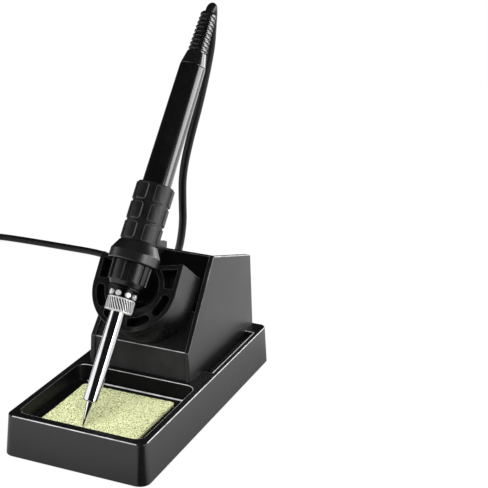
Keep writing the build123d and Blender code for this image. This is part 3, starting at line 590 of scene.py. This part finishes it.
# Copies of CAD nodes: their loose triangles joined and their sharp edges broken by a small bevel with a
# finish of its own, a painted highlight that is lighter where the bevel faces up. Faces whose middle is in
# a zone's box, and that face its way where it names one, take the zone's finish; a box right of the middle
# stands for its mirror image too. A cut divides the faces along a plane, so that a zone can end there, and
# points in the box without highlights get the painted-light attribute, so that their bevels stay near black
dressing = {"weld": 2e-6, "smallest": 0.06, "flat": 0.4, "sharp": 38.0, "facing": 0.97, "segments": 3}
dressedSettings = {
    "base_tray": {
        "body": "stand", "material": "standPlastic", "slot": "stand_plastic", "bevel": 0.3,
        "edge": "edgeHighlightPaint", "cuts": [(40.0, 0, 0), (-40.0, 0, 0), (0, 7.9, 0), (0, 74.3, 0)],
        "highlightFreeBox": ((-39.5, -84.5, 22.0), (-36.0, -15.0, 30.0)),
        "zones": [
            # painted shade: the well takes the darker copy of the plastic
            {"finish": "wellShadedPlastic", "box": ((-38.6, -84.0, 14.0), (38.6, -13.2, 24.9))},
            # painted highlight along the fillet at the foot of the well's back wall
            {"finish": "edgeHighlightPaint", "box": ((-31, -19, 13.5), (36, -13, 19)), "upward": (0.45, 0.8)},
            # painted highlight on the rim's up-facing fillets
            {"finish": "edgeHighlightPaint", "box": ((-45, -92, 22), (45, 92, 30)), "upward": (0.25, 0.97)},
            # the rim's front corners keep the plain colour, with no painted highlight
            {
                "finish": "standPlastic", "box": ((38.2, -92, 22), (45, -84.7, 30)),
                "upward": (0.25, 0.97),
            },
            # painted highlight: a light strip on the rim's top beside each channel
            {"finish": "edgeHighlightPaint", "box": ((39.1, 7, 24.8), (40.1, 75, 25.2)), "upward": (0.9, 1.1)},
        ],
    },
    "housing": {
        "name": "toolBin", "body": "stand", "material": "housingPlastic", "slot": "stand_plastic",
        "bevel": 0.3, "edge": "softEdgeHighlightPaint",
        "zones": [
            {
                "finish": "panelPlastic", "box": ((-25, -12, 30), (25, 40, 95)),
                "facing": (0, -0.775, 0.632),
            },
            # painted light: the front wall takes the lighter grey
            {"finish": "frontLitPlastic", "box": ((-33, -12, 24), (33, -8, 45)), "facing": (0, -1, 0)},
            # painted highlight along the fold between the front wall and the slope
            {
                "finish": "edgeHighlightPaint", "box": ((-30, -9.8, 42.8), (30, -9.2, 43.5)),
                "upward": (0.03, 0.62),
            },
            # painted highlights on the side walls' up-facing fillets: dim along the slope, bright along the
            # top
            {"finish": "softEdgeHighlightPaint", "box": ((29, -12, 24), (34, 36, 95)), "sideways": (0.2, 0.97)},
            {"finish": "edgeHighlightPaint", "box": ((29, 36, 70), (34, 90, 95)), "sideways": (0.2, 0.97)},
        ],
    },
    # its bevels take a faint painted highlight
    "iron_holder": {
        "body": "stand", "material": "holderPlastic", "slot": "stand_plastic", "bevel": 0.35,
        "edge": "holderEdge",
    },
    "rubber_feet": {"body": "stand", "material": "footRubber", "slot": "foot_rubber", "bevel": 0.4},
    "housing_screws": {"body": "stand", "material": "screwSteel", "slot": "screw_steel", "bevel": 0.15},
    "coil_tie": {"body": "stand", "material": "tieFabric", "slot": "cord_jacket", "bevel": 0.2},
    "plug_pins": {"body": "stand", "material": "pinBrass", "slot": "pin_brass", "bevel": 0.25},
    "terminal_board": {
        "body": "iron", "material": "boardLaminate", "slot": "board_laminate", "bevel": 0.1,
    },
}


def paintZone(mesh, zone):
    count = len(mesh.polygons)
    middles, normals = np.empty(count * 3), np.empty(count * 3)
    mesh.polygons.foreach_get("center", middles)
    mesh.polygons.foreach_get("normal", normals)
    middles, normals = middles.reshape(-1, 3) / mm, normals.reshape(-1, 3)
    low, high = zone["box"]
    if low[0] > 0:
        normals[:, 0] *= np.sign(middles[:, 0])
        middles[:, 0] = np.abs(middles[:, 0])
    inside = ((middles > low) & (middles < high)).all(axis=1)
    if "facing" in zone:
        inside &= normals @ unit(zone["facing"]) > dressing["facing"]
    if "upward" in zone:
        inside &= (normals[:, 2] > zone["upward"][0]) & (normals[:, 2] < zone["upward"][1])
    if "sideways" in zone:
        inside &= (normals[:, 0] > zone["sideways"][0]) & (normals[:, 0] < zone["sideways"][1])
        inside &= normals[:, 2] > 0
    indices = np.empty(count, np.int32)
    mesh.polygons.foreach_get("material_index", indices)
    mesh.materials.append(materials[zone["finish"]])
    indices[inside] = len(mesh.materials) - 1
    mesh.polygons.foreach_set("material_index", indices)


def makeDressed(node, settings):
    mesh = nodes[node].data.copy()
    if "custom_normal" in mesh.attributes:
        mesh.attributes.remove(mesh.attributes["custom_normal"])
    shape = bmesh.new()
    shape.from_mesh(mesh)
    flat, sharp = math.radians(dressing["flat"]), math.radians(dressing["sharp"])
    bmesh.ops.remove_doubles(shape, verts=shape.verts, dist=dressing["weld"])
    bmesh.ops.dissolve_degenerate(shape, dist=dressing["smallest"] * mm, edges=shape.edges)
    bmesh.ops.dissolve_limit(shape, angle_limit=flat, verts=shape.verts, edges=shape.edges)
    for cut in settings.get("cuts", []):
        parts = [*shape.verts, *shape.edges, *shape.faces]
        place, across = Vector(cut) * mm, Vector(cut).normalized()
        bmesh.ops.bisect_plane(shape, geom=parts, plane_co=place, plane_no=across)
    # points in this box get the painted-light attribute, which takes the painted highlight off their bevels
    if "highlightFreeBox" in settings:
        low, high = settings["highlightFreeBox"]
        paintedLightShares = shape.verts.layers.float.new("mark")
        for vert in shape.verts:
            place = np.array(vert.co) / mm
            vert[paintedLightShares] = float(((place > low) & (place < high)).all())
    weights = shape.edges.layers.float.new("bevel_weight_edge")
    for edge in shape.edges:
        turned = edge.calc_face_angle(0.0) > sharp
        edge[weights] = float(turned and edge.is_convex)
        edge.smooth = edge.is_convex or not turned
    shape.to_mesh(mesh)
    shape.free()
    first, *others = node.split("_")
    name = settings.get("name", first + "".join(word.title() for word in others))
    piece = addPiece(name, mesh, settings["material"], None, [node])
    for zone in settings.get("zones", []):
        paintZone(mesh, zone)
    bevel = piece.modifiers.new("edges", "BEVEL")
    bevel.width = settings["bevel"] * mm
    bevel.segments = dressing["segments"]
    bevel.limit_method = "WEIGHT"
    bevel.use_clamp_overlap = False
    # the bevel faces take the edge finish, a painted highlight
    if "edge" in settings:
        mesh.materials.append(materials[settings["edge"]])
        bevel.material = len(mesh.materials) - 1
    bevel.harden_normals = True
    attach(piece, settings["body"])
    return piece


dressed = {node: makeDressed(node, settings) for node, settings in dressedSettings.items()}
print("copies of CAD nodes:", len(dressed))


# Inner nodes that stay as CAD made them
innerFinishes = {
    "heater_core": "heaterCeramic", "heater_leads": "leadCopper", "cord_clamp": "collarPlastic",
    "cord_entry": "cordJacket",
}
for node, material in innerFinishes.items():
    nodes[node].data.materials.clear()
    nodes[node].data.materials.append(materials[material])


# Bit: a cone with a rounded end, a straight part through the sleeve's lip and a hollow barrel behind it
bitCorners = [
    (0, 0), (0, 0.4, 0.3), (14.1, 2.3, 2.0), (15.0, 2.3), (15.0, 3.6, 0.2), (40.0, 3.6, 0.2),
    (40.0, 2.1), (18.2, 2.1), (17.15, 0),
]
turnedPiece("bit", bitCorners, "bitMetal", "soldering_tip", closed=False, segments=64)

# Sleeve: a thin polished tube with a rolled lip in front and a flange inside the nut
sleeveCorners = [
    (14.1, 2.5, 0.2), (14.1, 4.3, 0.9), (67.6, 4.3), (67.6, 5.5, 0.15), (68.6, 5.5, 0.15), (68.6, 3.9),
    (14.9, 3.9), (14.9, 2.5, 0.2),
]
turnedPiece("sleeve", sleeveCorners, "sleeveSteel", "tip_sleeve")


def wallGrid(line, rows, segments, wall=1.0):
    # A profile carried round the axis, with the longest run of its outer wall divided into rows, so that
    # relief can follow; the outer wall is what lies within so many mm of the widest point
    runs = np.diff(line[:, 0]) * (line[1:, 1] > line[:, 1].max() - wall)
    first = int(np.argmax(runs))
    share = np.linspace(0, 1, rows)[:, None]
    filled = line[first] * (1 - share) + line[first + 1] * share
    line = np.vstack([line[:first], filled, line[first + 2:]])
    angles = np.linspace(0, 2 * np.pi, segments, endpoint=False)
    return np.broadcast_arrays(line[:, :1], line[:, 1:2], angles[None, :])


# Nut: a ring whose outer wall is pressed in along slanted lines, where the number of teeth times the angle,
# plus a lean times the station, comes to whole turns
nutSettings = {
    "corners": [
        (66.5, 4.5, 0.15), (66.5, 7.45, 0.2), (67.0, 7.95, 0.2), (74.1, 7.95, 0.2), (74.6, 7.45, 0.2),
        (74.6, 5.8, 0.15), (67.4, 5.8), (67.4, 4.5),
    ],
    "outer": 7.95, "wall": 0.1, "band": (67.3, 73.8), "fade": (0.1, 0.3), "teeth": 30, "lean": 0.6,
    "stroke": (0.2, 0.7), "depth": 0.5, "rows": 64, "segments": 480,
}


def makeNut(settings):
    low, high = settings["band"]
    line = roundedLine(settings["corners"], True)
    station, radius, angle = wallGrid(line, settings["rows"], settings["segments"])
    lean = settings["lean"] * settings["teeth"] / settings["outer"]
    stroke = np.abs((settings["teeth"] * angle + lean * station) / (2 * np.pi) % 1.0 - 0.5) * 2
    groove = smoothStep(*settings["stroke"], stroke)
    before, after = settings["fade"]
    fade = smoothStep(low - before, low + after, station)
    fade = fade * smoothStep(high + before, high - after, station)
    groove = groove * fade * (radius > settings["outer"] - settings["wall"])
    grid = onIron(station, radius - settings["depth"] * groove, angle)
    # the grooves also take the dark colour, a painted shade
    makePiece("nut", [(grid, True, True)], "nutNickel", "nut", ["knurled_nut"], groove)


makeNut(nutSettings)

# Ferrule: a blackened spigot with a ring and a flange, and round bright lugs that stand out of the ring
ferruleCorners = [
    (68.8, 2.1), (68.8, 5.5, 0.15), (74.9, 5.5), (74.9, 6.4, 0.2), (79.8, 6.4), (79.8, 9.1, 0.2),
    (81.0, 9.1, 0.2), (81.0, 6.8), (90.3, 6.8, 0.2), (90.3, 2.1),
]
lugSettings = {
    "count": 8, "turn": 9.6, "station": 76.7, "radius": 1.6, "low": 4.7, "high": 8.1, "round": 0.5,
    "roundSteps": 6, "segments": 32,
}


def makeLugs(settings):
    # A circle carried outwards along a ray from the iron's axis, drawn in to a point at both ends
    low, high, radius, rounding = (settings[key] for key in ("low", "high", "radius", "round"))
    quarter = np.linspace(0, np.pi / 2, settings["roundSteps"])
    heights = np.concatenate([[low, low], high - rounding * (1 - np.sin(quarter)), [high]])
    radii = np.concatenate([[0.0, radius], radius - rounding * (1 - np.cos(quarter)), [0.0]])
    around = np.linspace(0, 2 * np.pi, settings["segments"], endpoint=False)
    grids = []
    for number in range(settings["count"]):
        turn = math.radians(settings["turn"]) + number * 2 * np.pi / settings["count"]
        outward = math.cos(turn) * ironSide + math.sin(turn) * ironUp
        across = np.cross(ironAxis, outward)
        middle = ironTip + mm * (settings["station"] * ironAxis + heights[:, None, None] * outward)
        ring = np.cos(around)[None, :, None] * ironAxis + np.sin(around)[None, :, None] * across
        grids.append((middle + mm * radii[:, None, None] * ring, False, True))
    makePiece("ferruleLugs", grids, "lugTin", "iron")


turnedPiece("ferrule", ferruleCorners, "darkSteel", "heater_ferrule")
makeLugs(lugSettings)

# Collar: a cone on a short nose; its wall is cut in by flat-bottomed flutes with rounded sides
collarSettings = {
    "corners": [
        (81.3, 7.0), (81.3, 9.2, 0.25), (83.9, 10.4, 0.3), (83.9, 11.1, 0.25), (95.3, 11.5, 0.35),
        (95.3, 8.7), (90.5, 8.7), (90.5, 7.0),
    ],
    "flutes": 8, "turn": 19.6, "width": 3.6, "widthRadius": 11.3, "soft": (0.12, 0.3), "depth": 1.0,
    "floor": 10.2, "start": 83.85, "rows": 30, "segments": 480,
}


def makeCollar(settings):
    line = roundedLine(settings["corners"], True)
    station, radius, angle = wallGrid(line, settings["rows"], settings["segments"])
    period = 2 * np.pi / settings["flutes"]
    offset = (angle - math.radians(settings["turn"]) + period / 2) % period - period / 2
    distance = np.abs(offset) * settings["widthRadius"]
    half, (outside, inside) = settings["width"] / 2, settings["soft"]
    groove = smoothStep(half + outside, half - inside, distance)
    outer = np.clip(radius - settings["floor"], 0, settings["depth"]) * (station > settings["start"])
    grid = onIron(station, radius - groove * outer, angle)
    grids = [(grid, True, True)]
    makePiece("collar", grids, "collarPlastic", "iron", ["fluted_collar"])


makeCollar(collarSettings)

# Guard: a band with rounded edges and a cone up to the grip
guardCorners = [
    (95.3, 8.7), (95.3, 14.5, 0.7), (100.9, 14.5, 0.9), (107.1, 11.0, 0.4), (107.1, 8.7),
]
turnedPiece(
    "guard", guardCorners, "guardPlastic", "guard_flange", segments=128, steps=8,
)


# Grip: a sleeve with raised pads in rows and columns; each pad is a rounded rectangle on the unrolled
# wall, and its outline is painted pale, a painted highlight where light would catch its edge
gripSettings = {
    "low": 107.1, "high": 141.9, "bore": 8.7, "floor": 10.55, "edge": 0.25, "wall": 0.1, "relief": 0.75,
    "rows": 3, "columns": 6, "turn": 22.6, "width": 7.3, "space": 1.6, "corner": 1.6, "soft": 0.22,
    "outlineHighlight": 0.35, "wallRows": 170, "segments": 420,
}


def makeGrip(settings):
    low, high, floor, edge = (settings[key] for key in ("low", "high", "floor", "edge"))
    soft, corner = settings["soft"], settings["corner"]
    stations = np.linspace(low + edge, high - edge, settings["wallRows"])
    line = np.vstack([
        [(low, settings["bore"]), (low, floor - edge)],
        np.stack([stations, np.full(settings["wallRows"], floor)], axis=1),
        [(high, floor - edge), (high, settings["bore"])],
    ])
    angles = np.linspace(0, 2 * np.pi, settings["segments"], endpoint=False)
    station, radius, angle = np.broadcast_arrays(line[:, :1], line[:, 1:2], angles[None, :])
    rowHeight = (high - low) / settings["rows"]
    period = 2 * np.pi / settings["columns"]
    across = (angle - math.radians(settings["turn"]) + period / 2) % period - period / 2
    across = np.abs(across) * (floor + settings["relief"]) - settings["width"] / 2 + corner
    along = np.abs((station - low) % rowHeight - rowHeight / 2)
    along = along - (rowHeight - settings["space"]) / 2 + corner
    distance = np.hypot(np.maximum(across, 0), np.maximum(along, 0)) - corner
    onWall = radius > floor - settings["wall"]
    raised = smoothStep(soft, -soft, distance) * onWall
    grid = onIron(station, radius + settings["relief"] * raised, angle)
    # painted highlight: a pale band along each pad's outline
    outlineHighlight = smoothStep(settings["outlineHighlight"], 0, np.abs(distance + soft)) * onWall
    makePiece("grip", [(grid, True, True)], "gripRubber", "iron", ["grip_sleeve"], outlineHighlight)


makeGrip(gripSettings)

# Handle: a glossy tube that narrows a little towards the boot
handleCorners = [
    (90.7, 6.2), (90.7, 8.5, 0.3), (141.9, 8.5, 30.0), (214.9, 7.6, 0.5), (214.9, 6.2),
]
turnedPiece("handle", handleCorners, "handlePlastic", "handle_tube", segments=128)


# Boot: a smooth collar, then rings with grooves between them that get smaller towards the cord
bootSettings = {
    "start": 214.9, "collar": 8.5, "length": 33.5, "rings": 9, "groove": 0.9, "grooveGap": 0.05,
    "grooveShare": 0.4, "ridgeShare": 0.5, "nose": 1.2, "startRadius": 7.6, "collarRadius": 5.7,
    "endRadius": 4.7, "spigot": 6.0, "spigotLength": 8.0, "bore": 2.85, "collarRound": 0.35,
    "ridgeRound": 0.3, "grooveRound": 0.2,
}


def makeBoot(settings):
    start, bore, spigot, wide = (settings[key] for key in ("start", "bore", "spigot", "collarRadius"))
    onCollar, onRidge, inGroove = (settings[key] for key in ("collarRound", "ridgeRound", "grooveRound"))
    spigotEnd, collarEnd = start - settings["spigotLength"], start + settings["collar"]
    end = start + settings["length"]
    corners = [
        (spigotEnd, bore), (spigotEnd, spigot, onRidge), (start, spigot),
        (start, settings["startRadius"], onCollar), (collarEnd, wide, onCollar),
    ]
    pitch = (settings["length"] - settings["collar"] - settings["nose"]) / settings["rings"]
    for ring in range(settings["rings"]):
        ridge = wide - (wide - settings["endRadius"]) / settings["rings"] * (ring + 1)
        low = collarEnd + ring * pitch
        corners.append((low + settings["grooveGap"], ridge - settings["groove"], inGroove))
        corners.append((low + settings["grooveShare"] * pitch, ridge - settings["groove"], inGroove))
        corners.append((low + settings["ridgeShare"] * pitch, ridge, onRidge))
        corners.append((low + pitch, ridge, onRidge))
    corners += [(end, settings["endRadius"] - settings["groove"], inGroove), (end, bore)]
    turnedPiece("boot", corners, "bootRubber", "cord_boot", segments=80, steps=4)


makeBoot(bootSettings)
print("iron: made")


# Sponge: an outline of a rounded rectangle carried from the middle of the top over the edge to the
# middle of the bottom, with small waves in its top and edge: a product of two broad sines, one along each
# side, and one fine sine across
spongeSettings = {
    "corner": 2.0, "edge": 0.5, "edgeSteps": 5, "topRows": 40, "bottomRows": 8, "lastRow": 0.985,
    "around": 320, "wave": 0.06, "broad": (0.83, 0.71), "broadStart": (1.3, 0.4), "fine": (1.9, 1.3),
    "fineShare": 0.6, "fill": 0.3,
}


def makeSponge(settings):
    low, high = (np.array(corner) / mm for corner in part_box("sponge"))
    middle, half = (low + high) / 2, (high - low) / 2
    share = np.linspace(0, 1, settings["around"], endpoint=False)
    angles = share * 2 * np.pi + np.pi / settings["around"]
    stretch = 1 / np.maximum(np.abs(np.cos(angles)) / half[0], np.abs(np.sin(angles)) / half[1])
    outline = np.stack([np.cos(angles) * stretch, np.sin(angles) * stretch], axis=1)
    inner = half[:2] - settings["corner"]
    excess = np.abs(outline) - inner
    inCorner = (excess > 0).all(axis=1)
    length = np.maximum(np.linalg.norm(excess, axis=1, keepdims=True), nearZero)
    bend = excess / length * settings["corner"]
    rounded = np.sign(outline) * (inner + np.where(inCorner[:, None], bend, excess))
    topRows, bottomRows, lastRow = (settings[key] for key in ("topRows", "bottomRows", "lastRow"))
    quarter = np.linspace(0, np.pi / 2, settings["edgeSteps"])
    rising, falling = (settings["edge"] * (1 - curve) for curve in (np.cos(quarter), np.sin(quarter)))
    inward = np.concatenate([np.zeros(topRows), falling, rising, np.zeros(bottomRows)])
    scale = np.concatenate([
        np.linspace(0, lastRow, topRows), np.ones(2 * len(quarter)), np.linspace(lastRow, 0, bottomRows),
    ])
    height = np.concatenate([
        np.full(topRows, high[2]), high[2] - rising, low[2] + falling, np.full(bottomRows, low[2]),
    ])
    radial = rounded[None] * scale[:, None, None]
    direction = rounded / np.linalg.norm(rounded, axis=1, keepdims=True)
    flat = middle[:2] + radial - direction[None] * inward[:, None, None]
    broad = np.sin(flat * settings["broad"] + settings["broadStart"])
    fine = np.sin(flat[..., 0] * settings["fine"][0] + flat[..., 1] * settings["fine"][1])
    wave = broad[..., 0] * broad[..., 1] + settings["fineShare"] * fine
    top = (height > (low[2] + high[2]) / 2)[:, None]
    drop = np.where(top, settings["wave"] * (wave - (1 + settings["fineShare"])), 0)
    grid = np.concatenate([flat, (height[:, None] + drop)[..., None]], axis=2) * mm
    grids = [(grid, False, True)]
    sponge = makePiece("spongePad", grids, "spongeFoam", "stand", ["sponge"])


makeSponge(spongeSettings)
print("sponge: made")


# Stage: a pale floor that the camera sees as white. Reflections see a light floor too, but half as light
# beside the base, a painted shadow that darkens the base's walls towards the bottom, dark far out on the
# left, where a studio has its dark side, and black where it is both right of the base and in front of it,
# painted shade that only the base's rounded front corner shows
fullWhite = (1.0, 1.0, 1.0, 1.0)
stageSettings = {
    "half": 12.0, "floor": (0.86, 0.86, 0.86), "white": 0.93, "darkFrom": -0.15, "darkTo": -0.45,
    "darkShare": 0.12, "baseHalf": (0.043, 0.09), "shadeReach": 0.06, "shadeShare": 0.5,
    "cornerFrom": -0.004, "cornerTo": -0.002, "cornerShare": 0.0, "world": 0.2, "worldGloss": 0.012,
}


def makeFloor(settings):
    half = settings["half"]
    mesh = bpy.data.meshes.new("floor")
    corners = [(-half, -half, 0), (half, -half, 0), (half, half, 0), (-half, half, 0)]
    mesh.from_pydata(corners, [], [(0, 1, 2, 3)])
    floor = bpy.data.objects.new("floor", mesh)
    bpy.context.scene.collection.objects.link(floor)
    material = bpy.data.materials.new("floorPaint")
    material.use_nodes = True
    tree = material.node_tree
    tree.nodes.remove(tree.nodes["Principled BSDF"])
    rays = linked(tree, "LightPath").outputs
    paint = linked(tree, "BsdfDiffuse", {"Color": (*settings["floor"], 1.0)}).outputs["BSDF"]
    white = linked(tree, "Emission", {"Color": fullWhite, "Strength": 1.0}).outputs["Emission"]
    seen = calculated(tree, "MAXIMUM", rays["Is Camera Ray"], rays["Is Transmission Ray"])
    share = calculated(tree, "MULTIPLY", seen, settings["white"])
    plain = linked(tree, "MixShader", {0: share, 1: paint, 2: white}).outputs["Shader"]
    place = linked(tree, "TexCoord").outputs["Object"]
    axes = linked(tree, "SeparateXYZ", {"Vector": place}).outputs
    darkRange = [settings[key] for key in ("darkTo", "darkFrom", "darkShare", "white")]
    fade = ranged(tree, axes["X"], *darkRange)
    halfWide, halfLong = settings["baseHalf"]
    aside = calculated(tree, "SUBTRACT", calculated(tree, "ABSOLUTE", axes["X"]), halfWide)
    beyond = calculated(tree, "SUBTRACT", calculated(tree, "ABSOLUTE", axes["Y"]), halfLong)
    away = calculated(tree, "MAXIMUM", aside, beyond)
    # painted shadow: the glow seen in reflections is dimmer near the base
    shade = ranged(tree, away, 0.0, settings["shadeReach"], settings["shadeShare"])
    # painted shade: black right of and in front of the base, seen only in its front corner
    right = calculated(tree, "SUBTRACT", axes["X"], halfWide)
    front = calculated(tree, "SUBTRACT", -halfLong, axes["Y"])
    both = calculated(tree, "MINIMUM", right, front)
    cornerFrom, cornerTo = settings["cornerFrom"], settings["cornerTo"]
    corner = ranged(tree, both, cornerFrom, cornerTo, 1.0, settings["cornerShare"])
    level = calculated(tree, "MULTIPLY", calculated(tree, "MULTIPLY", fade, shade), corner)
    glow = linked(tree, "Emission", {"Color": fullWhite, "Strength": level}).outputs["Emission"]
    whole = linked(tree, "MixShader", {0: rays["Is Glossy Ray"], 1: plain, 2: glow})
    tree.links.new(whole.outputs["Shader"], tree.nodes["Material Output"].inputs["Surface"])
    mesh.materials.append(material)


def makeWorld(settings):
    world = bpy.data.worlds.new("studio")
    world.use_nodes = True
    tree = world.node_tree
    rays = linked(tree, "LightPath").outputs
    strength = settings["world"]
    for ray, value in (("Is Glossy Ray", settings["worldGloss"]), ("Is Camera Ray", 1.0)):
        mix = {"Factor": rays[ray], "A": strength, "B": value}
        strength = linked(tree, "Mix", mix, {"data_type": "FLOAT"}).outputs[0]
    background = tree.nodes["Background"]
    background.inputs["Color"].default_value = fullWhite
    tree.links.new(strength, background.inputs["Strength"])
    bpy.context.scene.world = world


# Lamps: a soft sun for the pale surfaces, and panels that show in glossy ones and look at the middle of
# the station; places and sizes are in metres
sunSettings = {"toward": (0.15, -0.45, 0.88), "place": (0, 0, 2), "strength": 3.8, "spread": 60.0}
panelAim = np.array([0.0, -0.03, 0.07])
panels = [
    {"name": "panelLeft", "place": (-0.27, -0.2, 0.12), "size": (0.45, 0.2), "power": 0.35},
    {"name": "panelRight", "place": (0.9, 0.41, 0.28), "size": (0.75, 0.52), "power": 4.7},
    {"name": "lowRight", "place": (0.9, -0.27, 0.18), "size": (0.34, 0.32), "power": 1.96},
    {"name": "stripBack", "place": (0.5, 0.94, 0.2), "size": (0.5, 0.25), "power": 1.5},
]


def addLamp(name, data, toward, place):
    lamp = bpy.data.objects.new(name, data)
    back = unit(toward)
    right = unit(np.cross([0, 0, 1], back))
    turn = np.eye(4)
    turn[:3, 0], turn[:3, 1], turn[:3, 2], turn[:3, 3] = right, np.cross(back, right), back, place
    lamp.matrix_world = Matrix(turn.tolist())
    lamp.visible_camera = False
    bpy.context.scene.collection.objects.link(lamp)
    return lamp


def addSun(settings):
    data = bpy.data.lights.new("sun", "SUN")
    data.energy = settings["strength"]
    data.angle = math.radians(settings["spread"])
    addLamp("sun", data, settings["toward"], settings["place"]).visible_glossy = False


def addPanel(name, place, size, power):
    data = bpy.data.lights.new(name, "AREA")
    data.shape = "RECTANGLE"
    data.size, data.size_y = size
    data.energy = power
    addLamp(name, data, np.array(place) - panelAim, place)


makeFloor(stageSettings)
makeWorld(stageSettings)
addSun(sunSettings)
for panel in panels:
    addPanel(**panel)
bpy.context.scene.view_settings.view_transform = "Standard"
print("stage: made")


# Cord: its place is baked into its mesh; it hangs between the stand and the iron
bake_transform(cord)
